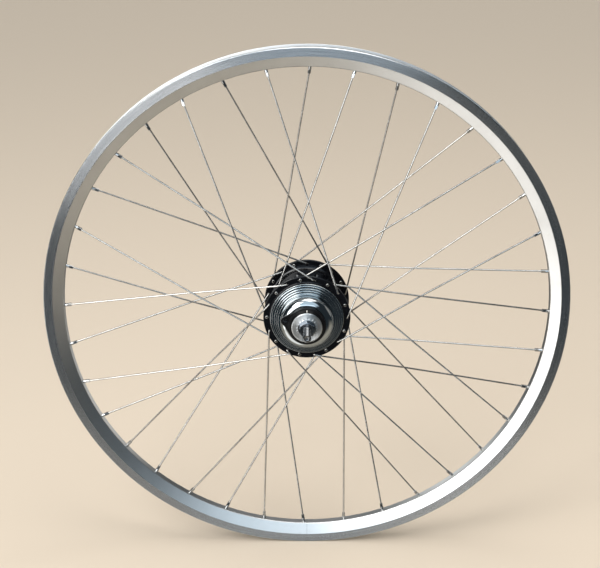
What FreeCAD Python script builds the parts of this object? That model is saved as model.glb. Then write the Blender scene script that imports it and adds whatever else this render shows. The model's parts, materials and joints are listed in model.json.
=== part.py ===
"""Bicycle rear wheel with an internally geared hub: rim, 36 crossed spokes, hub shell,
bearings, a two-stage epicyclic gear train with one common carrier, and its selector.

Millimetres. The axle lies along Y, the drive side faces -Y, +Z is up and the wheel rolls
towards +X. The origin is the middle of the axle. Angles are measured from +X towards +Z.
"""
import FreeCAD, Part
import math
import os

V = FreeCAD.Vector
ORIGIN = V(0, 0, 0)
AXIS = V(0, 1, 0)
TOWARDS_Z = V(0, -1, 0)  # turning about this axis raises an angle

# wheel
RIM_R = 317.0            # outer edge of the rim, over the hooks
RIM_HALF_WIDTH = 12.3
TRACK_HEIGHT = 10.8      # brake track, in the radial direction
RIM_BED_R = 293.8        # innermost face of the rim, where the spoke nipples come out
RIM_WALL = 1.6
BEAD_SEAT_R = 311.0
WELL_R = 304.5
SPOKES = 36
SPOKE_R = 1.0
FIRST_RIM_HOLE = 89.22   # degrees
CROSS_ANGLE = 60.0       # between a spoke's hub hole and its rim hole, three-cross lacing
CROSSING = 0.417         # where a spoke meets the last one it crosses, as a share of its length
INTERLACE = 1.1          # half the distance between two spoke centres where they cross
FLAT_RUN = 11.0          # a spoke on an outer face lies flat until it is past the flange's edge
NIPPLE_OUT = 8.6
NIPPLE_R = 2.0

# hub shell
FLANGE_R = 52.0
HOLE_CIRCLE_R = 47.75
FLANGE_OUT = 31.5        # outer face of each flange, from the middle
FLANGE_T = 3.2
FLANGE_HOLE_R = 1.4
BARREL_R = 41.0
BARREL_BORE_R = 37.5

# axle and locknuts
AXLE_R = 5.0
AXLE_HALF = 100.0
LOCK_FACE = 66.0         # 132 mm between the faces that the frame clamps
NUT_FLATS = 17.0
NUT_T = 7.0
WASHER_T = 1.5
FIT = 0.02               # between still pieces
RUN = 0.06               # radial play between moving pieces

# gear train
MODULE = 0.75
PRESSURE = math.radians(25)
BACKLASH = 0.06          # taken off each gear's tooth thickness
SUN_LOW, SMALL_LOW, BIG_LOW, RING_IN = 42, 14, 25, 81
SUN_A, STEP_A = 24, 30
SUN_B, STEP_B, RING_OUT = 30, 24, 78
SUN_TOP, STEP_TOP = 36, 18
LOW_ANGLES = [90, 210, 330]
HIGH_ANGLES = [30, 150, 270]
LOW_DISTANCE = MODULE * (SUN_LOW + SMALL_LOW) / 2
HIGH_DISTANCE = MODULE * (SUN_TOP + STEP_TOP) / 2
PIN_LOW_R = 2.5
PIN_HIGH_R = 3.0
SLEEVE_R = 6.4

# ball bearings: pitch radius, ball radius, y of the centres, number of balls
INNER_BALLS = (11.5, 2.38, -47.0, 9)
OUTER_BALLS = (25.0, 2.0, -38.0, 24)
LEFT_BALLS = (14.5, 3.175, 42.0, 9)
RACE_PLAY = 0.08

nodes = {}


def polar(radius, degrees, y=0.0):
    a = math.radians(degrees)
    return V(radius * math.cos(a), y, radius * math.sin(a))


def turn(shape, degrees):
    """A copy of the shape with its angle about the axle raised."""
    copy = shape.copy()
    copy.rotate(ORIGIN, TOWARDS_Z, degrees)
    return copy


def rounded(corners):
    """A closed wire through (a, b) corners in the XY plane; a third value rounds a corner."""
    edges = []
    starts, ends = [], []
    count = len(corners)
    for i, corner in enumerate(corners):
        here = V(corner[0], corner[1], 0)
        before = V(*corners[i - 1][:2], 0)
        after = V(*corners[(i + 1) % count][:2], 0)
        if len(corner) < 3:
            starts.append(here)
            ends.append(here)
            continue
        to_before = (before - here).normalize()
        to_after = (after - here).normalize()
        half = to_before.getAngle(to_after) / 2
        reach = corner[2] / math.tan(half)
        first = here + to_before * reach
        last = here + to_after * reach
        middle = (to_before + to_after).normalize()
        nearest = here + middle * (corner[2] / math.sin(half) - corner[2])
        edges.append(Part.Arc(first, nearest, last).toShape())
        starts.append(first)
        ends.append(last)
    for i in range(count):
        if (ends[i - 1] - starts[i]).Length > 1e-6:
            edges.append(Part.LineSegment(ends[i - 1], starts[i]).toShape())
    return Part.Wire(Part.__sortEdges__(edges))


def turned(corners):
    """A solid of revolution about the axle, from (radius, y) corners."""
    return Part.Face(rounded(corners)).revolve(ORIGIN, AXIS, 360)


def tube(inner, outer, low, high):
    return turned([(inner, low), (outer, low), (outer, high), (inner, high)])


def rod(radius, low, high, centre=ORIGIN):
    """A round bar along Y."""
    return Part.makeCylinder(radius, high - low, V(centre.x, low, centre.z), AXIS)


def bar(radius, start, end):
    return Part.makeCylinder(radius, (end - start).Length, start, end - start)


def sector(inner, outer, low, high, middle, width):
    """A slice of a tube, width degrees wide about the middle angle."""
    face = Part.Face(rounded([(inner, low), (outer, low), (outer, high), (inner, high)]))
    return turn(face.revolve(ORIGIN, TOWARDS_Z, width), middle - width / 2)


def around(shape, angles):
    return [turn(shape, a) for a in angles]


def prism(points, low, high):
    """A plate along Y from (x, z) points."""
    corners = [V(x, low, z) for x, z in points]
    return Part.Face(Part.makePolygon(corners + corners[:1])).extrude(V(0, high - low, 0))


def hexagon(flats, low, high, first=90):
    corners = [polar(flats / math.sqrt(3), first + 60 * i) for i in range(6)]
    return prism([(c.x, c.z) for c in corners], low, high)


def bearing_tunnel(bearing):
    pitch, ball, y, count = bearing
    tunnel = Part.makeTorus(pitch, ball + RACE_PLAY, ORIGIN, AXIS)
    tunnel.translate(V(0, y, 0))
    return tunnel


# ---- gears ------------------------------------------------------------------

def involute(angle):
    return math.tan(angle) - angle


def half_tooth(teeth, radius, thickness):
    """Half the angle that a tooth takes up at a radius, in radians."""
    pitch = MODULE * teeth / 2
    slope = math.acos(min(1.0, pitch * math.cos(PRESSURE) / radius))
    return thickness / (2 * pitch) + involute(PRESSURE) - involute(slope)


def toothed(teeth, root, tip, thickness, first, low, high, centre=ORIGIN):
    """A solid with involute teeth, one of them centred on the angle first."""
    base = MODULE * teeth / 2 * math.cos(PRESSURE)
    start = max(root, base)
    radii = [start, (start + tip) / 2, tip]
    halves = [math.degrees(half_tooth(teeth, r, thickness)) for r in radii]
    step = 360 / teeth
    edges = []
    for i in range(teeth):
        middle = first + i * step
        rising = [polar(r, middle - h, low) for r, h in zip(radii, halves)]
        falling = [polar(r, middle + h, low) for r, h in zip(radii, halves)]
        foot = polar(root, middle - halves[0], low)
        heel = polar(root, middle + halves[0], low)
        next_foot = polar(root, middle + step - halves[0], low)
        if root < base - 1e-6:
            edges.append(Part.LineSegment(foot, rising[0]).toShape())
        edges.append(Part.Arc(*rising).toShape())
        edges.append(Part.Arc(rising[2], polar(tip, middle, low), falling[2]).toShape())
        edges.append(Part.Arc(*falling[::-1]).toShape())
        if root < base - 1e-6:
            edges.append(Part.LineSegment(falling[0], heel).toShape())
        edges.append(Part.Arc(heel, polar(root, middle + step / 2, low), next_foot).toShape())
    solid = Part.Face(Part.Wire(edges)).extrude(V(0, high - low, 0))
    solid.translate(centre)
    return solid


def gear(teeth, first, low, high, centre=ORIGIN):
    pitch = MODULE * teeth / 2
    thickness = math.pi * MODULE / 2 - BACKLASH
    return toothed(teeth, pitch - 1.2 * MODULE, pitch + 0.9 * MODULE, thickness, first, low, high, centre)


def ring_gear(teeth, first_space, blank, low, high):
    """An internal gear cut into a turned blank."""
    pitch = MODULE * teeth / 2
    space = math.pi * MODULE / 2 + BACKLASH
    cutter = toothed(teeth, pitch - 0.9 * MODULE, pitch + 1.25 * MODULE, space, first_space,
                     low - 1, high + 1)
    return blank.cut(cutter)


def sun(teeth, low, high, angle):
    """A sun gear with a tooth space facing the planet at the angle."""
    return gear(teeth, angle + 180 / teeth, low, high)


# ---- rim, spokes and nipples ------------------------------------------------

def spoke_route(side, outside, trailing):
    """Points of a spoke that belongs to rim hole angle 0: head, elbow, leaving, crossing, rim.

    side is -1 for the drive flange and 1 for the left one. outside tells whether the spoke
    lies on the flange's outer face. trailing is the sign of the hub hole's angle.
    """
    hub = polar(HOLE_CIRCLE_R, trailing * CROSS_ANGLE)
    outer_face = side * FLANGE_OUT
    inner_face = side * (FLANGE_OUT - FLANGE_T)
    off_face = SPOKE_R + 0.2
    out_y = outer_face + side * off_face
    in_y = inner_face - side * off_face
    head = V(hub.x, inner_face if outside else outer_face, hub.z)
    elbow = V(hub.x, out_y if outside else in_y, hub.z)
    rim = polar(RIM_BED_R + RIM_WALL, 0)
    crossing = elbow + (rim - elbow) * CROSSING
    middle = (out_y + in_y) / 2 * (1 - CROSSING)
    crossing.y = middle - side * INTERLACE if outside else middle + side * INTERLACE
    flat_run = (V(rim.x, elbow.y, rim.z) - elbow).normalize() * FLAT_RUN
    leaving = elbow + flat_run if outside else elbow + (crossing - elbow) * 0.1
    return head, elbow, leaving, crossing, rim


def bend(before, corner, after, radius):
    """The arc that rounds a corner between two straight runs."""
    to_before = (before - corner).normalize()
    to_after = (after - corner).normalize()
    half = to_before.getAngle(to_after) / 2
    reach = radius / math.tan(half)
    nearest = corner + (to_before + to_after).normalize() * (radius / math.sin(half) - radius)
    return corner + to_before * reach, nearest, corner + to_after * reach


def spoke(side, outside, trailing):
    head, elbow, leaving, crossing, rim = spoke_route(side, outside, trailing)
    along = (rim - crossing).normalize()
    arcs = [bend(head, elbow, leaving, 2.2), bend(leaving, crossing, rim, 120)]
    if outside:
        arcs.insert(1, bend(elbow, leaving, crossing, 20))
    edges = []
    start = head
    for arc in arcs:
        edges.append(Part.LineSegment(start, arc[0]).toShape())
        edges.append(Part.Arc(*arc).toShape())
        start = arc[2]
    edges.append(Part.LineSegment(start, rim - along * 2.0).toShape())
    route = Part.Wire(edges)
    section = Part.Wire(Part.makeCircle(SPOKE_R, head, AXIS))
    wire = route.makePipeShell([section], True, False)
    away = AXIS * (1 if head.y > elbow.y else -1)
    cap = Part.makeCylinder(1.9, 1.3, head + away * FIT, away)
    stub = Part.makeCylinder(SPOKE_R, 0.5, head, away)
    cap_edge = [e for e in cap.Edges if e.CenterOfMass.y * away.y > (head.y + away.y) * away.y]
    return wire.fuse([cap.makeFillet(0.6, cap_edge), stub]).removeSplitter()


def nipple_axis(side, outside, trailing):
    crossing, rim = spoke_route(side, outside, trailing)[3:]
    return rim, (rim - crossing).normalize()


def nipple(side, outside, trailing):
    rim, along = nipple_axis(side, outside, trailing)
    tip = rim - along * (NIPPLE_OUT + RIM_WALL)
    shank = bar(NIPPLE_R, tip + along * 4.6, rim)
    square = Part.makeBox(3.2, 3.2, 5.2, V(-1.6, -1.6, 0))
    square = square.common(Part.makeCylinder(2.05, 5.2))
    square.Placement = FreeCAD.Placement(tip, FreeCAD.Rotation(V(0, 0, 1), along))
    head = bar(3.0, rim, rim + along * 2.4)
    crown = head.makeFillet(0.9, [e for e in head.Edges if (e.CenterOfMass - rim).Length > 2])
    bore = bar(SPOKE_R + 0.05, tip - along, rim - along * 1.5)
    return shank.fuse([square, crown]).cut(bore).removeSplitter()


def rim_cutter(side, outside, trailing):
    """The hole that a nipple needs: shank, seat for its head, and the opening in the tyre well."""
    rim, along = nipple_axis(side, outside, trailing)
    shank = bar(NIPPLE_R + 0.08, rim - along * 4, rim + along)
    seat = bar(3.1, rim - along * 0.02, rim + along * 3)
    access = bar(3.6, rim + along * 5, rim + along * 13)
    return shank.fuse([seat, access])


# hole number modulo four: side, whether the spoke lies on the flange's outer face, hub angle's sign
LACING = [(1, True, 1), (-1, False, 1), (1, False, -1), (-1, True, -1)]


def rim_angles(kind):
    return [FIRST_RIM_HOLE - 10 * k for k in range(kind, SPOKES, 4)]


def hub_hole_angles(side):
    return [a + sign * CROSS_ANGLE for kind, (s, _, sign) in enumerate(LACING) if s == side
            for a in rim_angles(kind)]


VALVE_ANGLE = FIRST_RIM_HOLE - 15


def make_rim():
    track_foot = RIM_R - TRACK_HEIGHT
    half = RIM_HALF_WIDTH
    side = [(5.0, RIM_BED_R, 1.5), (half - 0.3, track_foot, 1.0), (half, RIM_R - 0.8, 0.3),
            (half - 0.7, RIM_R, 0.3), (half - 2.0, RIM_R, 0.5), (half - 2.2, RIM_R - 2.4),
            (half - 1.6, RIM_R - 3.0), (half - 1.6, BEAD_SEAT_R, 0.4), (half - 4.3, BEAD_SEAT_R - 0.6, 0.8),
            (5.2, WELL_R, 1.5)]
    right = [(c[1], -c[0]) + tuple(c[2:]) for c in side]
    left = [(c[1], c[0]) + tuple(c[2:]) for c in side[::-1]]
    body = turned(right + left)
    roof = WELL_R - RIM_WALL
    floor = RIM_BED_R + RIM_WALL
    chamber = turned([(floor, -4.4, 1.0), (track_foot + 0.6, -10.4, 0.8), (BEAD_SEAT_R - 2.6, -9.0, 0.8),
                      (roof, -6.0, 1.0), (roof, 6.0, 1.0), (BEAD_SEAT_R - 2.6, 9.0, 0.8),
                      (track_foot + 0.6, 10.4, 0.8), (floor, 4.4, 1.0)])
    cutters = [c for kind, lace in enumerate(LACING) for c in around(rim_cutter(*lace), rim_angles(kind))]
    valve = bar(4.25, polar(RIM_BED_R - 5, VALVE_ANGLE), polar(RIM_R, VALVE_ANGLE))
    return body.cut([chamber] + cutters + [valve])


nodes["rim"] = [make_rim()]
SPOKE_NAMES = ["spokes_left_outer", "spokes_drive_inner", "spokes_left_inner", "spokes_drive_outer"]
for kind, name in enumerate(SPOKE_NAMES):
    nodes[name] = around(spoke(*LACING[kind]), rim_angles(kind))
for name, kinds in (("nipples_left", (0, 2)), ("nipples_drive", (1, 3))):
    nodes[name] = [n for kind in kinds for n in around(nipple(*LACING[kind]), rim_angles(kind))]


# ---- hub shell and what is fixed in it --------------------------------------

inner_face = FLANGE_OUT - FLANGE_T
shell = turned([
    (40.0, -34.2), (43.6, -34.2, 0.4), (44.2, -FLANGE_OUT, 0.6), (FLANGE_R, -FLANGE_OUT, 0.9),
    (FLANGE_R, -inner_face, 0.9), (BARREL_R, -inner_face, 3.6), (BARREL_R - 0.8, 0),
    (BARREL_R, inner_face, 3.6), (FLANGE_R, inner_face, 0.9), (FLANGE_R, FLANGE_OUT, 0.9),
    (42.0, FLANGE_OUT, 1.2), (38.0, 34.5, 2.0), (25.5, 38.0, 3.0), (24.0, 48.0, 0.8),
    (20.0, 48.0), (20.0, 37.0), (15.0, 37.0), (15.0, 32.0), (28.0, 31.0, 2.0), (36.0, 29.0),
    (BARREL_BORE_R, 29.0), (BARREL_BORE_R, -26.5), (40.0, -26.5)])
spoke_holes = [rod(FLANGE_HOLE_R, side * FLANGE_OUT - 5, side * FLANGE_OUT + 5, polar(HOLE_CIRCLE_R, a))
               for side in (-1, 1) for a in hub_hole_angles(side)]
nodes["hub_shell"] = [shell.cut(spoke_holes)]

ball_ring = turned([
    (37.0, -28.0), (40.0 - FIT, -28.0), (40.0 - FIT, -34.2 - FIT), (43.6, -34.2 - FIT, 0.3),
    (43.6, -36.0, 0.5), (41.4, -36.0), (41.4, -37.6, 0.3), (38.8, -37.6), (38.8, -39.4, 0.3),
    (36.6, -39.4), (36.6, -41.2, 0.3), (34.4, -41.2), (34.4, -43.2, 0.4), (26.4, -43.2),
    (26.4, -41.4), (25.4, -41.4), (25.4, -38.0), (27.3, -38.0), (27.3, -35.2), (30.0, -33.0, 1.0),
    (37.0, -33.0)])
nodes["right_ball_ring"] = [ball_ring.cut(bearing_tunnel(OUTER_BALLS))]
nodes["right_seal"] = [turned([(23.1, -43.0), (26.38, -43.2), (26.38, -41.42), (23.5, -41.8)])]

RACE_OUT_R = 36.0
nodes["ring_clutch_race"] = [turned([(RACE_OUT_R, -2.5, 0.4), (BARREL_BORE_R, -2.5), (BARREL_BORE_R, 8.0),
                                     (RACE_OUT_R, 8.0, 0.4)])]
RACE_CARRIER_R = 25.0
nodes["carrier_clutch_race"] = [turned([
    (RACE_CARRIER_R, 16.5, 0.3), (28.0, 16.5, 0.6), (28.0, 26.0, 1.5), (BARREL_BORE_R, 26.0),
    (BARREL_BORE_R, 29.0), (RACE_CARRIER_R, 29.0)])]

left_cup = turned([(13.0, 37.0), (20.0 - FIT, 37.0), (20.0 - FIT, 47.5), (18.3, 47.5), (18.3, 42.0),
                   (13.0, 40.6)])
nodes["left_ball_cup"] = [left_cup.cut(bearing_tunnel(LEFT_BALLS))]
nodes["left_dust_cap"] = [turned([(12.4, 49.4), (24.4, 48.1, 0.4), (24.4, 49.3, 0.6), (12.4, 50.6)])]

# ---- ball bearings ----------------------------------------------------------

def balls(bearing):
    pitch, ball, y, count = bearing
    ball_at_0 = Part.makeSphere(ball, V(pitch, y, 0))
    return around(ball_at_0, [90 + i * 360 / count for i in range(count)])


def cage(bearing, ring, fingers, side):
    """A crown retainer: a ring beside the balls, on the side given, and a finger between each two."""
    pitch, ball, y, count = bearing
    near = y + side * (ball + 0.25)
    far = near + side * 0.9
    band = tube(ring[0], ring[1], min(near, far), max(near, far))
    gap = 2 * math.pi * pitch / count - 2 * ball
    width = math.degrees((gap - 0.5) / pitch)
    tip = y - side * 0.4
    low, high = min(tip, far), max(tip, far)
    finger = sector(fingers[0], fingers[1], low, high, 90 + 180 / count, width)
    return [band.fuse(around(finger, [i * 360 / count for i in range(count)])).removeSplitter()]


for name, bearing, ring, fingers, side in (
        ("inner", INNER_BALLS, (11.8, 13.4), (11.8, 12.6), -1),
        ("outer", OUTER_BALLS, (24.9, 26.8), (24.9, 25.5), 1),
        ("left", LEFT_BALLS, (15.0, 17.4), (15.0, 15.9), 1)):
    nodes[name + "_bearing_balls"] = balls(bearing)
    nodes[name + "_bearing_cage"] = cage(bearing, ring, fingers, side)


# ---- axle, cones, locknuts and nuts -----------------------------------------

def pawl_recess(low, high):
    return Part.makeBox(8.0, high - low, 5.0, V(-3.2, low, 1.9))


PAWL_WIDTH = 3.0
PAWL_MIDDLES = {"low": -13.5, "top": 9.5}
PAWL_PIVOT = V(-1.5, 0, 3.2)
PAWL_PIN_R = 0.6

CHAMFER = 0.8
UNDERCUT_R = 4.4
UNDERCUT = 1.0           # a plain neck beside each axle nut
NUT_START = LOCK_FACE + WASHER_T + FIT
NUT_END = NUT_START + NUT_T
end_profile = [(AXLE_R - CHAMFER, AXLE_HALF), (AXLE_R, AXLE_HALF - CHAMFER), (AXLE_R, NUT_END + UNDERCUT),
               (UNDERCUT_R, NUT_END + UNDERCUT), (UNDERCUT_R, NUT_END), (AXLE_R, NUT_END)]
axle = turned([(0, AXLE_HALF)] + end_profile + [(r, -y) for r, y in end_profile[::-1]] + [(0, -AXLE_HALF)])
FLAT_HALF = 4.5          # the two flats that fit a 9 mm wide frame slot
FLAT_LENGTH = 19.5
cuts = []
for end in (-1, 1):
    low, high = sorted((end * (LOCK_FACE + 0.5), end * (LOCK_FACE + 0.5 + FLAT_LENGTH)))
    for corner in (FLAT_HALF, -FLAT_HALF - 2):
        cuts.append(Part.makeBox(2.0, high - low, 12.0, V(corner, low, -6)))
    cuts.append(Part.makeCone(1.6, 0.2, 2.4, V(0, end * AXLE_HALF, 0), V(0, -end, 0)))
for y in PAWL_MIDDLES.values():
    cuts.append(pawl_recess(y - PAWL_WIDTH / 2 - 0.1, y + PAWL_WIDTH / 2 + 0.1))
    cuts.append(rod(PAWL_PIN_R + FIT, y - 3.5, y + 3.5, PAWL_PIVOT))
nodes["axle"] = [axle.cut(cuts)]
nodes["pawl_pins"] = [rod(PAWL_PIN_R, y - 3.3, y + 3.3, PAWL_PIVOT) for y in PAWL_MIDDLES.values()]

CONE_LUG = 70            # degrees of each of the two lugs that hold the drive cone on the axle
cone = turned([(SLEEVE_R + RUN, -57.0), (8.4, -57.0), (8.4, -53.0, 0.5), (11.3, -52.0, 0.3), (11.3, -48.6),
               (9.0, -46.0), (9.0, -44.6, 0.3), (SLEEVE_R + RUN, -44.6)])
cone = cone.cut(bearing_tunnel(INNER_BALLS))
lugs = around(sector(AXLE_R + FIT, SLEEVE_R + 0.6, -56.6, -45.0, 0, CONE_LUG), [0, 180])
nodes["right_cone"] = [cone.fuse(lugs).removeSplitter()]

left_cone = turned([(AXLE_R + FIT, 39.5), (10.4, 39.5, 0.3), (10.4, 42.0), (12.0, 43.6), (12.0, 52.0, 0.6),
                    (9.0, 53.0), (AXLE_R + FIT, 53.0)])
nodes["left_cone"] = [left_cone.cut(bearing_tunnel(LEFT_BALLS)).cut(
    [Part.makeBox(3, 3.6, 30, V(x, 49.6, -15)) for x in (-13.8, 10.8)])]
nodes["left_spacer"] = [turned([
    (AXLE_R + FIT, 53.0), (8.6, 53.0, 0.4), (8.6, 61.0, 0.4), (AXLE_R + FIT, 61.0)])]

locknut = hexagon(NUT_FLATS, 61.0, LOCK_FACE).common(
    turned([(0, 61.0), (9.1, 61.0), (9.9, 61.8), (9.9, LOCK_FACE - 0.8), (9.1, LOCK_FACE), (0, LOCK_FACE)]))
nodes["left_locknut"] = [locknut.cut(rod(AXLE_R + FIT, 60, 69))]

nodes["selector_bracket"] = [turned([
    (AXLE_R + FIT, -64.7), (9.5, -64.7), (9.5, -58.9), (AXLE_R + FIT, -58.9)])]
LOCK_RING_R = 18.0
nodes["lock_ring"] = [turned([
    (AXLE_R + FIT, -LOCK_FACE), (LOCK_RING_R - 0.8, -LOCK_FACE, 0.2), (LOCK_RING_R, -65.4, 0.2),
    (LOCK_RING_R, -64.7), (AXLE_R + FIT, -64.7)])]

def serrated_washer(low, high, teeth=20):
    """A toothed washer that bites into the frame end."""
    disc = turned([(AXLE_R + FIT, low), (11.0, low, 0.2), (11.0, high, 0.2), (AXLE_R + FIT, high)])
    tooth = prism([polar_xz(10.6, -6), polar_xz(12.2, 0), polar_xz(10.6, 6)], low + 0.1, high - 0.1)
    return [disc.fuse(around(tooth, [i * 360 / teeth for i in range(teeth)])).removeSplitter()]


def polar_xz(radius, degrees):
    point = polar(radius, degrees)
    return point.x, point.z


def axle_nut(inner, outer):
    """A hexagon nut with a round flange on the frame side; inner and outer are its faces' y."""
    side = 1 if outer > inner else -1
    low, high = min(inner, outer), max(inner, outer)
    crown = turned([(0, inner), (10.2, inner), (10.2, outer - side * 1.0), (8.6, outer), (0, outer)])
    body = hexagon(NUT_FLATS, low, high).common(crown)
    flange = tube(0.5, 10.4, min(inner, inner + side * 1.4), max(inner, inner + side * 1.4))
    return [body.fuse(flange).cut(rod(AXLE_R + FIT, low - 1, high + 1)).removeSplitter()]


nodes["right_serrated_washer"] = serrated_washer(-LOCK_FACE - WASHER_T, -LOCK_FACE)
nodes["left_serrated_washer"] = serrated_washer(LOCK_FACE, LOCK_FACE + WASHER_T)
nodes["right_axle_nut"] = axle_nut(-NUT_START, -NUT_END)
nodes["left_axle_nut"] = axle_nut(NUT_START, NUT_END)

# ---- selector ---------------------------------------------------------------

ARM = 38                 # degrees of each of the two arms that pass through the drive cone
WINDOW_MIDDLE, WINDOW = 68.5, 149  # degrees of the sleeve's opening over each pawl
sleeve = tube(AXLE_R + RUN, SLEEVE_R, -44.3, 12.6)
windows = [sector(4.0, 8.0, y - PAWL_WIDTH / 2 - 0.3, y + PAWL_WIDTH / 2 + 0.3, WINDOW_MIDDLE, WINDOW)
           for y in PAWL_MIDDLES.values()]
arms = around(sector(AXLE_R + RUN + 0.02, SLEEVE_R - 0.08, -58.6, -44.0, 94, ARM), [0, 180])
nodes["selector_sleeve"] = [sleeve.cut(windows).fuse(arms).removeSplitter()]

nodes["selector_drive_plate"] = [tube(SLEEVE_R, 15.0, -58.6, -57.3)]

PULLEY_IN, PULLEY_OUT = -58.7, -64.4
PULLEY_R = 22.4
SKIRT_BORE_R = 18.0      # the pulley's rim reaches further in than its web
SKIRT_END = -57.0
GROOVE_R = 0.9
pulley = turned([
    (9.5 + RUN, PULLEY_OUT), (18.2, PULLEY_OUT, 0.5), (20.9, -61.9, 0.6), (PULLEY_R, -61.7, 0.3),
    (PULLEY_R, SKIRT_END, 0.4), (SKIRT_BORE_R, SKIRT_END), (SKIRT_BORE_R, PULLEY_IN), (9.5 + RUN, PULLEY_IN)])
groove = Part.makeTorus(PULLEY_R + 0.2, GROOVE_R, ORIGIN, AXIS)
groove.translate(V(0, -60.3, 0))
NOSE_OUT, NOSE_IN = -61.5, -59.2
NOSE_ANGLE = 164
NOSE_ROOT_R = 21.4
NOSE_R = 26.4            # radius at which the cable's anchor sits
NOSE_END_R = 5.0
lean = math.degrees(math.acos((NOSE_ROOT_R - NOSE_END_R) / NOSE_R))  # the nose's sides are tangents
anchor = polar(NOSE_R, NOSE_ANGLE)
nose = [polar(NOSE_ROOT_R, NOSE_ANGLE + s * lean) for s in (-1, 1)]
nose += [anchor + polar(NOSE_END_R, NOSE_ANGLE + s * lean) for s in (1, -1)]
nose = prism([(p.x, p.z) for p in nose], NOSE_OUT, NOSE_IN).fuse(rod(NOSE_END_R, NOSE_OUT, NOSE_IN, anchor))
pulley = pulley.fuse(nose).cut([groove, rod(1.55, -66, -56, anchor)])
nodes["selector_pulley"] = [pulley.removeSplitter()]
bolt = rod(1.5, NOSE_OUT - 0.1, -57.4, anchor).fuse([
    rod(2.8, -63.2, NOSE_OUT - FIT, anchor), rod(2.6, NOSE_IN + FIT, -57.2, anchor)])
slot = Part.makeBox(6, 0.9, 0.9, V(anchor.x - 3, -63.6, anchor.z - 0.45))
nodes["cable_anchor_bolt"] = [bolt.cut(slot).removeSplitter()]

# ---- driver, turned by the sprocket -----------------------------------------

FLANGE_BACK, FLANGE_FRONT = -28.6, -31.2
SKIRT_IN, SKIRT_OUT = 34.0, 36.0
driver = turned([
    (14.0, -57.0), (17.3, -57.0, 0.4), (17.3, -42.0, 0.8), (20.4, -42.0, 0.8), (20.4, -44.0),
    (22.8, -44.0, 0.3), (22.8, -38.0), (24.6, -38.0), (24.6, -33.5, 1.0), (28.0, FLANGE_FRONT, 1.0),
    (SKIRT_OUT, FLANGE_FRONT, 0.8), (SKIRT_OUT, -15.2), (SKIRT_IN + FIT, -15.2), (SKIRT_IN + FIT, -16.0),
    (SKIRT_IN + 0.9, -16.0), (SKIRT_IN + 0.9, -17.0), (SKIRT_IN + FIT, -17.0), (SKIRT_IN + FIT, FLANGE_BACK),
    (9.6, FLANGE_BACK), (9.6, -45.8), (12.4, -47.0), (14.0, -48.0)])
driver = driver.cut([bearing_tunnel(INNER_BALLS), bearing_tunnel(OUTER_BALLS)])
seat_cuts = around(sector(16.2, 18.0, -58.0, -53.4, 0, 100), [30, 150, 270])
nodes["driver"] = [driver.cut(seat_cuts)]
CAP_R = 32.0
CAP_FACE = -56.1
CAP_T = 1.2
CAP_SHOULDER = 9.5       # outer radius of the round shoulder between its wall and its face
CAP_BORE_R = 17.3 + FIT
nodes["driver_dust_cap"] = [turned([
    (CAP_R, -44.4), (CAP_R, CAP_FACE, CAP_SHOULDER), (CAP_BORE_R, CAP_FACE), (CAP_BORE_R, CAP_FACE + CAP_T),
    (CAP_R - CAP_T, CAP_FACE + CAP_T, CAP_SHOULDER - CAP_T), (CAP_R - CAP_T, -44.4)])]
nodes["ring_gear_input"] = [ring_gear(RING_IN, LOW_ANGLES[0], tube(28.0, SKIRT_IN, -25.2, -17.0),
                                      -25.2, -17.0)]
nodes["input_snap_ring"] = [tube(32.0, SKIRT_IN + 0.8, -16.9, -16.1).cut(sector(31, 36, -18, -15, 60, 16))]

# ---- carrier ----------------------------------------------------------------

FRONT_PLATE = (-28.0, -25.6)
MID_PLATE = (-9.7, -7.5)
REAR_PLATE = (13.0, 16.0)
CARRIER_R = 27.5
PILLAR_CIRCLE_R = 22.0
RIVET_R = 2.0


def rods(radius, distance, angles, low, high):
    """Bars along Y on a circle about the axle."""
    return [rod(radius, low, high, polar(distance, a)) for a in angles]


front, back = FRONT_PLATE
front_plate = turned([(SLEEVE_R + RUN, front), (CARRIER_R, front, 0.5), (CARRIER_R, back, 0.5),
                      (SLEEVE_R + RUN, back)])
nodes["carrier_front_plate"] = [front_plate.cut(
    rods(PIN_LOW_R + FIT, LOW_DISTANCE, LOW_ANGLES, -29, -25)
    + rods(RIVET_R + FIT, PILLAR_CIRCLE_R, HIGH_ANGLES, -29, -25))]

mid_plate = tube(SLEEVE_R + RUN, CARRIER_R, *MID_PLATE)
rear_plate = tube(AXLE_R + RUN, 28.0, *REAR_PLATE)
low_pillars = rods(4.0, PILLAR_CIRCLE_R, HIGH_ANGLES, back, MID_PLATE[0] + 0.5)
rivets = rods(RIVET_R, PILLAR_CIRCLE_R, HIGH_ANGLES, front - 0.4, back + 1)
high_pillars = rods(3.0, PILLAR_CIRCLE_R, LOW_ANGLES, MID_PLATE[1] - 0.5, REAR_PLATE[0] + 0.5)
CARRIER_ROLLERS = [60 * i for i in range(6)]
CARRIER_ROLLER_R = 2.4
CARRIER_ROLLER_PITCH = RACE_CARRIER_R - CARRIER_ROLLER_R - 0.1
clutch_cam = tube(AXLE_R + RUN, 24.4, REAR_PLATE[1] - 0.5, 25.6)
clutch_pockets = rods(CARRIER_ROLLER_R + 0.12, CARRIER_ROLLER_PITCH, CARRIER_ROLLERS, REAR_PLATE[1] + 0.6, 26)
clutch_pockets += [sector(20.2, 26, REAR_PLATE[1] + 0.6, 26, a + 6, 12) for a in CARRIER_ROLLERS]
carrier = mid_plate.fuse(low_pillars + rivets + high_pillars + [rear_plate, clutch_cam.cut(clutch_pockets)])
pin_cuts = (rods(PIN_LOW_R + FIT, LOW_DISTANCE, LOW_ANGLES, -12, -7)
            + rods(PIN_HIGH_R + FIT, HIGH_DISTANCE, HIGH_ANGLES, -10, 15.6))
lightening = rods(3.4, 13.6, CARRIER_ROLLERS, 12, 27)
nodes["carrier"] = [carrier.cut(pin_cuts + lightening).removeSplitter()]
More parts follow.
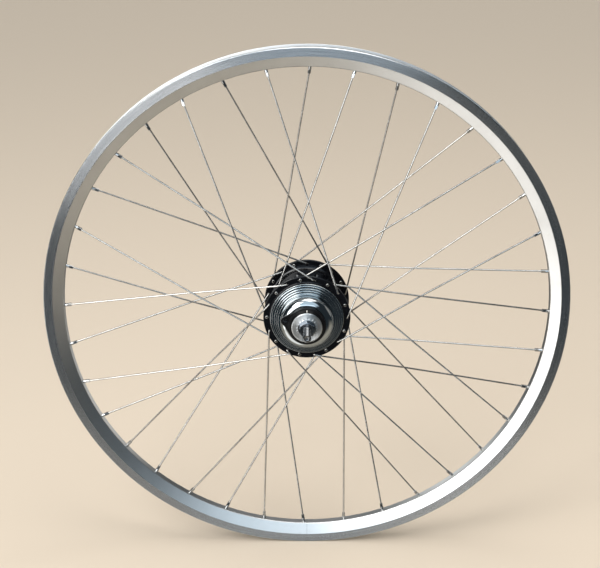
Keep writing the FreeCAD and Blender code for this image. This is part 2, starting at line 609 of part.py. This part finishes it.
nodes["planet_pins_low"] = rods(PIN_LOW_R, LOW_DISTANCE, LOW_ANGLES, -28.3, MID_PLATE[1])
nodes["planet_pins_high"] = rods(PIN_HIGH_R, HIGH_DISTANCE, HIGH_ANGLES, MID_PLATE[0], 15.5)
nodes["carrier_rollers"] = rods(CARRIER_ROLLER_R, CARRIER_ROLLER_PITCH, CARRIER_ROLLERS,
                                REAR_PLATE[1] + 0.8, 25.4)

# ---- planets, rings and suns ------------------------------------------------

for number, angle in enumerate(LOW_ANGLES, 1):
    centre = polar(LOW_DISTANCE, angle)
    steps = gear(BIG_LOW, angle, -24.9, -17.3, centre).fuse([
        gear(SMALL_LOW, angle, -17.4, -10.4, centre), rod(3.8, -25.4, -24.8, centre)])
    bore = rod(PIN_LOW_R + RUN, -27, -8, centre)
    nodes[f"planet_low_{number}"] = [steps.cut(bore)]

for number, angle in enumerate(HIGH_ANGLES, 1):
    centre = polar(HIGH_DISTANCE, angle)
    steps = gear(STEP_A, angle, -6.9, -2.0, centre).fuse([
        gear(STEP_B, angle, -2.1, 6.6, centre), gear(STEP_TOP, angle, 6.5, 12.4, centre)])
    bore = rod(PIN_HIGH_R + RUN, -9, 14, centre)
    nodes[f"planet_high_{number}"] = [steps.cut(bore)]

RING_ROLLER_R = 1.4
RING_ROLLER_PITCH = RACE_OUT_R - RING_ROLLER_R - 0.1
RING_ROLLERS = [30 * i for i in range(12)]
out_blank = tube(27.0, 35.4, -1.2, 6.4)
out_ring = ring_gear(RING_OUT, HIGH_ANGLES[0], out_blank, -1.2, 6.4)
roller_pockets = rods(RING_ROLLER_R + 0.12, RING_ROLLER_PITCH, RING_ROLLERS, -0.6, 5.8)
roller_pockets += [sector(33.2, 36, -0.6, 5.8, a + 3, 6) for a in RING_ROLLERS]
nodes["ring_gear_output"] = [out_ring.cut(roller_pockets)]
nodes["ring_rollers"] = rods(RING_ROLLER_R, RING_ROLLER_PITCH, RING_ROLLERS, -0.5, 5.7)

RATCHET_R = 8.5
NOTCHES = 6
NOTCH_MIDDLE, NOTCH = 64.5, 49  # degrees


def locked_sun(teeth, low, high, angle, pawl_y):
    """A sun gear that a pawl can hold: its bore has a row of notches."""
    blank = sun(teeth, low, high, angle).cut(rod(SLEEVE_R + RUN, low - 1, high + 1))
    notch = sector(6.0, RATCHET_R, pawl_y - PAWL_WIDTH / 2 - 0.2, pawl_y + PAWL_WIDTH / 2 + 0.2,
                   NOTCH_MIDDLE, NOTCH)
    return blank.cut(around(notch, [i * 360 / NOTCHES for i in range(NOTCHES)]))


nodes["sun_gear_low"] = [locked_sun(SUN_LOW, -16.6, -10.4, LOW_ANGLES[0], PAWL_MIDDLES["low"])]
nodes["sun_gear_top"] = [locked_sun(SUN_TOP, 6.7, 12.3, HIGH_ANGLES[0], PAWL_MIDDLES["top"])]
nodes["sun_gear_a"] = [sun(SUN_A, -6.9, -2.2, HIGH_ANGLES[0]).cut(rod(SLEEVE_R + RUN, -8, 0))]
nodes["sun_gear_b"] = [sun(SUN_B, -1.4, 6.2, HIGH_ANGLES[0]).cut(rod(SLEEVE_R + RUN, -3, 8))]


def pawl(y):
    """A pawl that points out of the axle and forwards, into a notch of its sun."""
    low = y - PAWL_WIDTH / 2
    high = y + PAWL_WIDTH / 2
    boss = rod(1.2, low, high, PAWL_PIVOT)
    finger = prism([(-1.9, 4.3), (2.6, 7.9), (3.7, 6.6), (-0.7, 2.35)], low, high)
    return boss.fuse(finger).cut(rod(PAWL_PIN_R + 0.05, low - 1, high + 1, PAWL_PIVOT)).removeSplitter()


for name, y in PAWL_MIDDLES.items():
    nodes["sun_pawl_" + name] = [pawl(y)]

# ---- write one STEP file per piece or group of like pieces ------------------

os.makedirs("parts", exist_ok=True)
for name, solids in nodes.items():
    shape = solids[0] if len(solids) == 1 else Part.makeCompound(solids)
    whole = all(s.isValid() for s in shape.Solids)
    print(f"{name:24s} solids {len(shape.Solids):3d} valid {whole} mm3 {shape.Volume:10.1f}")
    shape.exportStep(f"parts/{name}.step")
print(len(nodes), "nodes")
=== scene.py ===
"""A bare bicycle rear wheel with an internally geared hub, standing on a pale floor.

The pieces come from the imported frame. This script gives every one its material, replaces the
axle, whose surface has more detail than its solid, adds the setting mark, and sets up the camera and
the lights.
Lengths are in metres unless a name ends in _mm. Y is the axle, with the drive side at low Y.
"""

import json
import math

import bmesh
import bpy
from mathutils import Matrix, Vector


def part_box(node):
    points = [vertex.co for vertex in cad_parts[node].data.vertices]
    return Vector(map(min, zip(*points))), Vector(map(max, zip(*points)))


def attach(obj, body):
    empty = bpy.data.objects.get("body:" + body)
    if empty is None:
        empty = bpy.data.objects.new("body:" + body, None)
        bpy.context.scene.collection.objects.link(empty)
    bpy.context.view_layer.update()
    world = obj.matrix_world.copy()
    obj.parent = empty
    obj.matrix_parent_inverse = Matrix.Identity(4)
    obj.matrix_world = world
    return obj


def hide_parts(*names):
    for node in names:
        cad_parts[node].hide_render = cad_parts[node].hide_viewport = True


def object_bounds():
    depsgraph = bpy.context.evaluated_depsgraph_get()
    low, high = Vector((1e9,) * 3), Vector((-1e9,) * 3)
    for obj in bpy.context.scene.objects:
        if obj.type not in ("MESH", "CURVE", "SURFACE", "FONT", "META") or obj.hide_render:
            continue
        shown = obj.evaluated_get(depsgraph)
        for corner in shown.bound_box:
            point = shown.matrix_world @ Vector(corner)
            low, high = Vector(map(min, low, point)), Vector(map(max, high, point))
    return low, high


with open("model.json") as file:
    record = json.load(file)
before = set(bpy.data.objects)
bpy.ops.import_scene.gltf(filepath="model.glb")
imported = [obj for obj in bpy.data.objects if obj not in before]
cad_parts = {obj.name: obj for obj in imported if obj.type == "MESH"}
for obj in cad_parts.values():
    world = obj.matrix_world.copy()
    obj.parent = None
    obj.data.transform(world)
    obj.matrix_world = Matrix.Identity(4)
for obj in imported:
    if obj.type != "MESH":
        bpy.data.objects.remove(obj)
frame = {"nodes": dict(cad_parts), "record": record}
cad_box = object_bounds()
NODES = frame["nodes"]
MM = 0.001
NOISE_LOW, NOISE_HIGH = 0.3, 0.7  # nearly all of a noise texture's values lie between these


# ---- node-graph helpers -----------------------------------------------------

class Graph:
    """A material's node tree, with short calls for the nodes used here."""

    def __init__(self, name):
        self.material = bpy.data.materials.new(name)
        self.material.use_nodes = True
        self.tree = self.material.node_tree
        self.shader = self.tree.nodes["Principled BSDF"]
        place = self.add("ShaderNodeTexCoord").outputs["Object"]
        split = self.add("ShaderNodeSeparateXYZ")
        self.join(place, split.inputs[0])
        self.place = place
        self.x, self.y, self.z = split.outputs

    def add(self, kind, **settings):
        node = self.tree.nodes.new(kind)
        for name, value in settings.items():
            setattr(node, name, value)
        return node

    def join(self, output, socket):
        self.tree.links.new(output, socket)

    def feed(self, socket, value):
        """Puts a number, a colour or another node's output into a socket."""
        if isinstance(value, bpy.types.NodeSocket):
            self.join(value, socket)
        else:
            socket.default_value = value

    def math(self, operation, *values):
        """The result of one operation on numbers or node outputs."""
        node = self.add("ShaderNodeMath", operation=operation)
        for socket, value in zip(node.inputs, values):
            self.feed(socket, value)
        return node.outputs[0]

    def vector(self, *values):
        """Three values as one vector."""
        node = self.add("ShaderNodeCombineXYZ")
        for socket, value in zip(node.inputs, values):
            self.feed(socket, value)
        return node.outputs[0]

    def radius(self):
        """Distance from the axle."""
        across = self.math("MULTIPLY", self.x, self.x)
        upward = self.math("MULTIPLY", self.z, self.z)
        return self.math("SQRT", self.math("ADD", across, upward))

    def angle(self):
        """Turn about the axle."""
        return self.math("ARCTAN2", self.z, self.x)

    def noise(self, scale, detail=3.0, rough=0.55, place=None):
        """Cloudy noise with about scale spots to a metre, or to a unit of place."""
        node = self.add("ShaderNodeTexNoise")
        self.join(place or self.place, node.inputs["Vector"])
        node.inputs["Scale"].default_value = scale
        node.inputs["Detail"].default_value = detail
        node.inputs["Roughness"].default_value = rough
        return node.outputs["Fac"]

    def step(self, value, low, high, start=0.0, end=1.0):
        """Smoothly from start to end as the value goes from low to high."""
        node = self.add("ShaderNodeMapRange", interpolation_type="SMOOTHSTEP")
        for socket, number in zip(node.inputs, (value, low, high, start, end)):
            self.feed(socket, number)
        return node.outputs[0]

    def spread(self, value, start, end):
        """A noise value stretched over the range from start to end."""
        node = self.add("ShaderNodeMapRange")
        for socket, number in zip(node.inputs, (value, NOISE_LOW, NOISE_HIGH, start, end)):
            self.feed(socket, number)
        return node.outputs[0]

    def mix(self, share, first, second):
        """Mixes two numbers."""
        node = self.add("ShaderNodeMix", data_type="FLOAT")
        self.feed(node.inputs[0], share)
        self.feed(node.inputs[2], first)
        self.feed(node.inputs[3], second)
        return node.outputs[0]

    def blend(self, share, first, second):
        """Mixes two colours."""
        node = self.add("ShaderNodeMix", data_type="RGBA")
        self.feed(node.inputs[0], share)
        for socket, colour in ((node.inputs[6], first), (node.inputs[7], second)):
            self.feed(socket, (*colour, 1.0) if isinstance(colour, tuple) else colour)
        return node.outputs[2]

    def bump(self, height, distance, strength=1.0):
        """Relief in the shading, distance deep where the height is 1."""
        node = self.add("ShaderNodeBump")
        node.inputs["Strength"].default_value = strength
        node.inputs["Distance"].default_value = distance
        self.join(height, node.inputs["Height"])
        self.join(node.outputs[0], self.shader.inputs["Normal"])

    def set(self, **sockets):
        """Fills the shader's sockets, named with underscores for spaces."""
        for name, value in sockets.items():
            self.feed(self.shader.inputs[name.replace("_", " ")], value)

    def across_marks(self, share):
        """Draws the sheen out across marks that run round the axle."""
        around = self.add("ShaderNodeTangent", direction_type="RADIAL", axis="Y")
        self.set(Anisotropic=share, Anisotropic_Rotation=0.25, Tangent=around.outputs[0])


# ---- materials --------------------------------------------------------------

def metal(name, dark, light, rough, pitting, patch_mm, marks=0.0, marks_mm=0.3, turned=0.0):
    """Bare or plated metal: dark and light are its colour's range, rough its roughness range.

    pitting is the depth in millimetres of a fine grain, and marks that of turning marks about the
    axle, marks_mm apart. turned is the share of the sheen that is drawn out across those marks.
    """
    g = Graph(name)
    cloud = g.noise(1 / (patch_mm * MM), 4.0)
    fine = g.noise(1 / (0.35 * MM), 2.0)
    g.set(Base_Color=g.blend(g.spread(cloud, 0.0, 1.0), dark, light), Metallic=1.0)
    height = g.math("MULTIPLY", fine, pitting)
    wear = cloud
    if marks:
        rings = g.vector(g.math("MULTIPLY", g.radius(), 1 / (marks_mm * MM)),
                         g.math("MULTIPLY", g.y, 1 / (marks_mm * MM)),
                         g.math("MULTIPLY", g.angle(), 0.8))
        lines = g.noise(1.0, 2.0, place=rings)
        height = g.math("ADD", height, g.math("MULTIPLY", lines, marks))
        wear = g.math("ADD", g.math("MULTIPLY", cloud, 0.5), g.math("MULTIPLY", lines, 0.5))
    g.set(Roughness=g.spread(wear, *rough))
    g.bump(height, MM)
    if turned:
        g.across_marks(turned)
    return g.material


def shell_paint():
    """Glossy black lacquer with a slight orange peel and a few dull specks of dust."""
    g = Graph("shell_black")
    dust = g.step(g.noise(420.0, 5.0, 0.7), 0.62, 0.72)
    g.set(Base_Color=g.blend(dust, (0.0035, 0.0037, 0.0048), (0.011, 0.011, 0.012)), Metallic=0.0,
          Roughness=g.mix(dust, 0.16, 0.34), Specular_IOR_Level=0.1, Coat_Weight=0.9,
          Coat_Roughness=0.035, IOR=1.5)
    g.bump(g.noise(260.0, 1.0), 0.00004, 0.6)
    return g.material


def rim_alloy():
    """Silver rim: machined brake tracks, satin walls, a duller tyre well and a joint at the bottom."""
    g = Graph("rim_alloy")
    lo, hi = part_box("rim")
    edge = (hi.x - lo.x) / 2
    half = (hi.y - lo.y) / 2
    radius = g.radius()
    side = g.math("ABSOLUTE", g.y)
    is_high = g.step(radius, edge - 11.0 * MM, edge - 10.4 * MM)
    is_outside = g.step(side, half - 0.9 * MM, half - 0.6 * MM)
    is_track = g.math("MULTIPLY", is_high, is_outside)
    is_between_walls = g.step(side, half - 1.9 * MM, half - 1.6 * MM, 1.0, 0.0)
    is_above_bed = g.step(radius, edge - 14 * MM, edge - 12 * MM)
    is_well = g.math("MULTIPLY", is_between_walls, is_above_bed)
    rings = g.vector(g.math("MULTIPLY", radius, 1 / (0.16 * MM)), g.math("MULTIPLY", g.y, 40.0),
                     g.math("MULTIPLY", g.angle(), 5.0))
    marks = g.noise(1.0, 3.0, 0.6, rings)
    cloud = g.noise(16.0, 5.0, 0.6)
    grain = g.noise(1 / (0.5 * MM), 3.0, 0.6)
    smudge = g.noise(55.0, 6.0, 0.65)
    track = g.blend(g.spread(marks, 0.0, 1.0), (0.60, 0.62, 0.645), (0.83, 0.845, 0.86))
    wall = g.blend(g.spread(cloud, 0.0, 1.0), (0.66, 0.655, 0.64), (0.76, 0.755, 0.74))
    wall = g.blend(g.step(smudge, 0.58, 0.72, 0.0, 0.22), wall, (0.50, 0.47, 0.42))
    well = g.blend(g.spread(cloud, 0.0, 1.0), (0.70, 0.70, 0.70), (0.80, 0.80, 0.79))
    colour = g.blend(is_well, g.blend(is_track, wall, track), well)
    is_middle = g.step(g.math("ABSOLUTE", g.x), 0.05 * MM, 0.16 * MM, 1.0, 0.0)
    is_low = g.step(g.z, -0.01, 0.01, 1.0, 0.0)
    joint = g.math("MULTIPLY", is_middle, is_low)
    rough = g.mix(is_track, g.spread(grain, 0.30, 0.40), g.spread(marks, 0.21, 0.27))
    g.set(Base_Color=g.blend(joint, colour, (0.10, 0.10, 0.10)), Metallic=1.0,
          Roughness=g.mix(is_well, rough, 0.5))
    height = g.mix(is_track, g.math("MULTIPLY", grain, 0.004), g.math("MULTIPLY", marks, 0.003))
    g.bump(g.math("SUBTRACT", height, g.math("MULTIPLY", joint, 0.15)), MM)
    g.across_marks(g.mix(is_track, 0.3, 0.92))
    return g.material


def moulded(name, colour, rough, grain_mm, depth_mm):
    """Moulded plastic or rubber with a fine texture and slightly rubbed patches."""
    g = Graph(name)
    rubbed = g.noise(150.0, 4.0)
    lighter = tuple(min(1.0, 2.2 * c + 0.004) for c in colour)
    g.set(Base_Color=g.blend(g.step(rubbed, 0.5, 0.75), colour, lighter), Metallic=0.0,
          Roughness=g.spread(rubbed, rough - 0.06, rough + 0.08), IOR=1.48, Specular_IOR_Level=0.2)
    g.bump(g.noise(1 / (grain_mm * MM), 2.0), depth_mm * MM, 0.7)
    return g.material


def paint_mark():
    """White paint with chipped spots."""
    g = Graph("mark_white")
    chips = g.noise(900.0, 4.0)
    worn = g.step(chips, 0.62, 0.7)
    g.set(Base_Color=g.blend(worn, (0.80, 0.80, 0.77), (0.45, 0.45, 0.43)), Roughness=0.5)
    g.bump(chips, 0.00002)
    return g.material


METALS = {
    "chrome": dict(dark=(0.44, 0.47, 0.48), light=(0.52, 0.55, 0.56), rough=(0.03, 0.09),
                   pitting=0.0004, patch_mm=25.0, marks=0.0012, marks_mm=0.45),
    "spoke_steel": dict(dark=(0.42, 0.40, 0.37), light=(0.62, 0.60, 0.57), rough=(0.16, 0.30),
                        pitting=0.001, patch_mm=22.0),
    "nipple_plate": dict(dark=(0.48, 0.48, 0.48), light=(0.64, 0.64, 0.63), rough=(0.12, 0.26),
                         pitting=0.002, patch_mm=5.0),
    "axle_steel": dict(dark=(0.17, 0.18, 0.19), light=(0.30, 0.31, 0.32), rough=(0.16, 0.30),
                       pitting=0.002, patch_mm=6.0, marks=0.003),
    "nut_plate": dict(dark=(0.20, 0.22, 0.25), light=(0.36, 0.38, 0.40), rough=(0.12, 0.26),
                      pitting=0.003, patch_mm=6.0, marks=0.002, marks_mm=0.35),
    "lock_ring_plate": dict(dark=(0.56, 0.57, 0.57), light=(0.74, 0.75, 0.75), rough=(0.34, 0.46),
                            pitting=0.003, patch_mm=10.0, marks=0.004, marks_mm=0.22, turned=0.75),
    "washer_zinc": dict(dark=(0.56, 0.57, 0.58), light=(0.78, 0.78, 0.77), rough=(0.18, 0.34),
                        pitting=0.004, patch_mm=4.0, marks=0.002),
    "gear_steel": dict(dark=(0.34, 0.34, 0.35), light=(0.52, 0.52, 0.53), rough=(0.22, 0.38),
                       pitting=0.002, patch_mm=7.0, marks=0.002),
    "hardened_steel": dict(dark=(0.20, 0.20, 0.22), light=(0.34, 0.34, 0.36), rough=(0.16, 0.32),
                           pitting=0.001, patch_mm=8.0, marks=0.002),
    "black_oxide": dict(dark=(0.06, 0.065, 0.075), light=(0.12, 0.125, 0.14), rough=(0.18, 0.32),
                        pitting=0.002, patch_mm=3.0, marks=0.002),
    "ball_steel": dict(dark=(0.66, 0.67, 0.69), light=(0.74, 0.75, 0.77), rough=(0.04, 0.09),
                       pitting=0.0003, patch_mm=4.0),
    "cage_steel": dict(dark=(0.46, 0.42, 0.33), light=(0.62, 0.58, 0.48), rough=(0.26, 0.42),
                       pitting=0.003, patch_mm=4.0),
}

MATERIALS = {"shell_black": shell_paint(), "rim_alloy": rim_alloy()}
for metal_name, look in METALS.items():
    MATERIALS[metal_name] = metal(metal_name, **look)
MATERIALS["seal_rubber"] = moulded("seal_rubber", (0.012, 0.012, 0.012), 0.6, 0.5, 0.02)
MATERIALS["selector_black"] = moulded("selector_black", (0.003, 0.003, 0.0035), 0.40, 0.35, 0.008)
MARK_WHITE = paint_mark()

for row in frame["record"]["subparts"]:
    data = NODES[row["node"]].data
    data.materials.clear()
    data.materials.append(MATERIALS[row["material_slot"]])


# ---- pieces that replace or add to the solids -------------------------------

def piece_from(name, mesh, body, material):
    """A new piece that rides on a body."""
    piece = bpy.data.objects.new(name, mesh)
    bpy.context.scene.collection.objects.link(piece)
    piece.data.materials.append(material)
    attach(piece, body)
    return piece


def lathe(name, rows, count, radius, sharp, body, material):
    """A round piece about the axle, with count points around it.

    rows are (y, size) along it, and radius(size, y, angle) is its surface. A flat face closes each
    end. Edges that bend by more than sharp degrees stay sharp.
    """
    mesh = bpy.data.meshes.new(name)
    bm = bmesh.new()
    rings = []
    for y, size in rows:
        ring = []
        for i in range(count):
            a = 2 * math.pi * i / count
            r = radius(size, y, a)
            ring.append(bm.verts.new((r * math.cos(a), y, r * math.sin(a))))
        rings.append(ring)
    for one, other in zip(rings, rings[1:]):
        for i in range(count):
            j = (i + 1) % count
            bm.faces.new((one[i], one[j], other[j], other[i]))
    bm.faces.new(rings[0][::-1])
    bm.faces.new(rings[-1])
    bmesh.ops.recalc_face_normals(bm, faces=bm.faces)
    bm.to_mesh(mesh)
    bm.free()
    mesh.shade_smooth()
    mesh.set_sharp_from_angle(angle=math.radians(sharp))
    return piece_from(name, mesh, body, material)


def axle_piece():
    """The axle with its rolled threads, its two flats and the centre holes in its ends."""
    lo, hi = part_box("axle")
    length = hi.y
    thick = (hi.x - lo.x) / 2
    pitch, thread_depth, rows_per_turn = 1.0 * MM, 0.32 * MM, 8
    thread_start = 55 * MM
    flat_low, flat_high, flat_half = 66.5 * MM, 86 * MM, 4.5 * MM
    neck_low, neck_high, neck_r = 74.52 * MM, 75.52 * MM, 4.4 * MM
    chamfer = 0.8 * MM
    hole_r, hole_depth = 1.6 * MM, 2.4 * MM

    def radius(size, y, angle):
        inside_centre_hole = size < thick * 0.9
        if inside_centre_hole:
            return size
        r = size
        if abs(y) > thread_start:
            turn = (y / pitch + angle / (2 * math.pi)) % 1.0
            depth = thread_depth * min(1.0, (abs(y) - thread_start) / pitch)
            r -= depth * abs(2 * turn - 1)
        if neck_low < abs(y) < neck_high:
            r = neck_r
        if flat_low < abs(y) < flat_high:
            r = min(r, flat_half / max(1e-6, abs(math.cos(angle))))
        return r

    end = [(length - hole_depth, 0.15 * MM), (length - 0.1 * MM, hole_r - 0.1 * MM),
           (length, hole_r), (length, thick - chamfer), (length - chamfer, thick)]
    steps = int((length - chamfer - thread_start) / (pitch / rows_per_turn))
    side = [(length - chamfer - i * pitch / rows_per_turn, thick) for i in range(1, steps)]
    rows = end + side + [(thread_start - 2 * MM, thick)]
    rows += [(-y, size) for y, size in rows[::-1]]
    piece = lathe("axle_threaded", rows, 60, radius, 50, "axle", MATERIALS["axle_steel"])
    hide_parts("axle")


axle_piece()


def setting_mark():
    """The raised white line on the pulley's sloping face that shows its setting."""
    lo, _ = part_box("selector_pulley")
    foot = Vector((0, lo.y + 0.45 * MM, 18.7 * MM))
    top = Vector((0, lo.y + 2.2 * MM, 20.6 * MM))
    out = Vector((0, foot.z - top.z, top.y - foot.y)).normalized()
    half = Vector((0.45 * MM, 0, 0))
    sunk, thickness, rounding = 0.1 * MM, 0.22 * MM, 0.05 * MM
    mesh = bpy.data.meshes.new("setting_mark")
    bm = bmesh.new()
    corners = (foot - half, foot + half, top + half, top - half)
    low = [bm.verts.new(corner - out * sunk) for corner in corners]
    high = [bm.verts.new(vert.co + out * thickness) for vert in low]
    bm.faces.new(low[::-1])
    bm.faces.new(high)
    for i in range(4):
        bm.faces.new((low[i], low[(i + 1) % 4], high[(i + 1) % 4], high[i]))
    bmesh.ops.recalc_face_normals(bm, faces=bm.faces)
    bmesh.ops.bevel(bm, geom=bm.edges[:], offset=rounding, segments=2, affect="EDGES")
    bm.to_mesh(mesh)
    bm.free()
    piece_from("setting_mark", mesh, "selector", MARK_WHITE)


setting_mark()


# ---- floor, light and camera ------------------------------------------------

def floor():
    """A pale, warm floor. It isn't seen in reflections, where the room's lower half stands for it."""
    g = Graph("floor_pale")
    g.set(Base_Color=(0.70, 0.61, 0.50, 1.0), Roughness=0.9, Metallic=0.0)
    g.bump(g.noise(60.0, 3.0), 0.0002, 0.3)
    reach = 40.0
    level = cad_box[0].z
    mesh = bpy.data.meshes.new("floor")
    corners = [(-reach, -reach), (reach, -reach), (reach, reach), (-reach, reach)]
    mesh.from_pydata([(x, y, level) for x, y in corners], [], [(0, 1, 2, 3)])
    mesh.materials.append(g.material)
    obj = bpy.data.objects.new("floor", mesh)
    bpy.context.scene.collection.objects.link(obj)
    obj.visible_glossy = False


def softbox(name, place, size, power, colour):
    """A rectangle of light that faces the hub. size is in metres and power in watts."""
    light = bpy.data.lights.new(name, "AREA")
    light.shape = "RECTANGLE"
    light.size, light.size_y = size
    light.energy = power
    light.color = colour
    lamp = bpy.data.objects.new(name, light)
    bpy.context.scene.collection.objects.link(lamp)
    lamp.location = place
    lamp.rotation_mode = "QUATERNION"
    lamp.rotation_quaternion = (-Vector(place)).to_track_quat("-Z", "Y")


# Colours of the room that the metal reflects, of the light on dull surfaces and of the backdrop.
WALL = (0.028, 0.037, 0.044, 1)
CEILING = (0.40, 0.43, 0.46, 1)
LIT_GROUND = (0.52, 0.47, 0.39, 1)
SHADED_GROUND = (0.20, 0.19, 0.16, 1)
FILL_LIGHT = (0.64, 0.62, 0.59, 1)
BACKDROP = (0.50, 0.43, 0.35, 1)

# Panels that the metal reflects: direction, half width and soft edge in degrees, colour, strength.
REFLECTED = [
    ((-0.46, -0.86, 0.21), 15, 8, (0.97, 0.99, 1.0), 5.0),
    ((0.02, -0.97, 0.22), 9, 7, (0.70, 0.86, 1.0), 2.4),
    ((0.05, -0.78, 0.62), 20, 10, (0.70, 0.86, 1.0), 1.2),
    ((-0.80, -0.54, -0.28), 13, 7, (1.0, 0.99, 0.97), 2.6),
    ((-0.43, -0.48, -0.77), 13, 12, (1.0, 0.98, 0.94), 1.5),
    ((0.0, 0.99, 0.06), 6, 4, (1.0, 0.99, 0.97), 1.4),
    ((0.10, 0.55, 0.83), 26, 14, (0.95, 0.97, 1.0), 0.25),
    ((0.95, 0.10, 0.25), 12, 8, (1.0, 0.96, 0.90), 0.4),
    ((-0.66, 0.66, 0.36), 13, 9, (0.95, 0.98, 1.0), 1.8),
    ((0.62, 0.78, -0.10), 12, 9, (1.0, 0.98, 0.95), 0.9),
]


def surroundings():
    """A dim room with soft light panels, which the metal reflects, and a plain pale backdrop."""
    world = bpy.data.worlds.new("room")
    bpy.context.scene.world = world
    world.use_nodes = True
    tree = world.node_tree
    back = tree.nodes["Background"]

    def add(kind, *links, **settings):
        node = tree.nodes.new(kind)
        for name, value in settings.items():
            setattr(node, name, value)
        for socket, value in zip(node.inputs, links):
            if isinstance(value, bpy.types.NodeSocket):
                tree.links.new(value, socket)
            elif value is not None:
                socket.default_value = value
        return node

    def ramp(value, low, high):
        """Smoothly from 0 to 1 as the value goes from low to high."""
        node = add("ShaderNodeMapRange", value, low, high, 0.0, 1.0, interpolation_type="SMOOTHSTEP")
        return node.outputs[0]

    def tint(share, first, second):
        """Mixes two colours, which are the node's seventh and eighth inputs."""
        skipped = (None,) * 5
        return add("ShaderNodeMix", share, *skipped, first, second, data_type="RGBA").outputs[2]

    way = add("ShaderNodeTexCoord").outputs["Generated"]
    y, z = list(add("ShaderNodeSeparateXYZ", way).outputs)[1:]
    beside = add("ShaderNodeMath", ramp(z, -0.12, -0.5), ramp(y, -0.85, -0.45), operation="MULTIPLY")
    below = add("ShaderNodeMath", beside.outputs[0], ramp(z, -0.36, -0.62), operation="MAXIMUM")
    ground = tint(ramp(y, 0.40, -0.20), SHADED_GROUND, LIT_GROUND)
    colour = tint(below.outputs[0], WALL, ground)
    colour = tint(ramp(z, 0.75, 1.0), colour, CEILING)
    for direction, half, edge, shade, power in REFLECTED:
        middle = Vector(direction).normalized()
        facing = add("ShaderNodeVectorMath", way, middle, operation="DOT_PRODUCT").outputs[1]
        share = ramp(facing, math.cos(math.radians(half + edge)), math.cos(math.radians(half)))
        colour = tint(share, colour, tuple(c * power for c in shade) + (1.0,))
    path = add("ShaderNodeLightPath").outputs
    colour = tint(path["Is Diffuse Ray"], colour, FILL_LIGHT)
    colour = tint(path["Is Camera Ray"], colour, BACKDROP)
    tree.links.new(colour, back.inputs["Color"])
    back.inputs["Strength"].default_value = 1.0
    bpy.context.scene.view_settings.view_transform = "Standard"


CAMERA_DISTANCE = 1.585
CAMERA_ELEVATION = math.radians(20.67)
LENS_MM, SENSOR_MM = 78.36, 36.0
CAMERA_SHIFT = (-0.0115, 0.0403)
NEAREST_SEEN, FARTHEST_SEEN = 0.05, 100.0


def camera():
    """Looks down on the wheel's drive side from in front of it."""
    back = Vector((0, -math.cos(CAMERA_ELEVATION), math.sin(CAMERA_ELEVATION)))
    data = bpy.data.cameras.new("camera")
    data.lens, data.sensor_width = LENS_MM, SENSOR_MM
    data.shift_x, data.shift_y = CAMERA_SHIFT
    data.clip_start, data.clip_end = NEAREST_SEEN, FARTHEST_SEEN
    cam = bpy.data.objects.new("camera", data)
    bpy.context.scene.collection.objects.link(cam)
    cam.location = back * CAMERA_DISTANCE
    cam.rotation_mode = "QUATERNION"
    cam.rotation_quaternion = (-back).to_track_quat("-Z", "Y")
    bpy.context.scene.camera = cam


floor()
surroundings()
softbox("key", (-1.3, -1.7, 2.0), (1.3, 1.3), 34, (1.0, 0.98, 0.95))
softbox("top", (0.3, -0.2, 2.4), (1.8, 1.4), 24, (1.0, 0.97, 0.93))
camera()
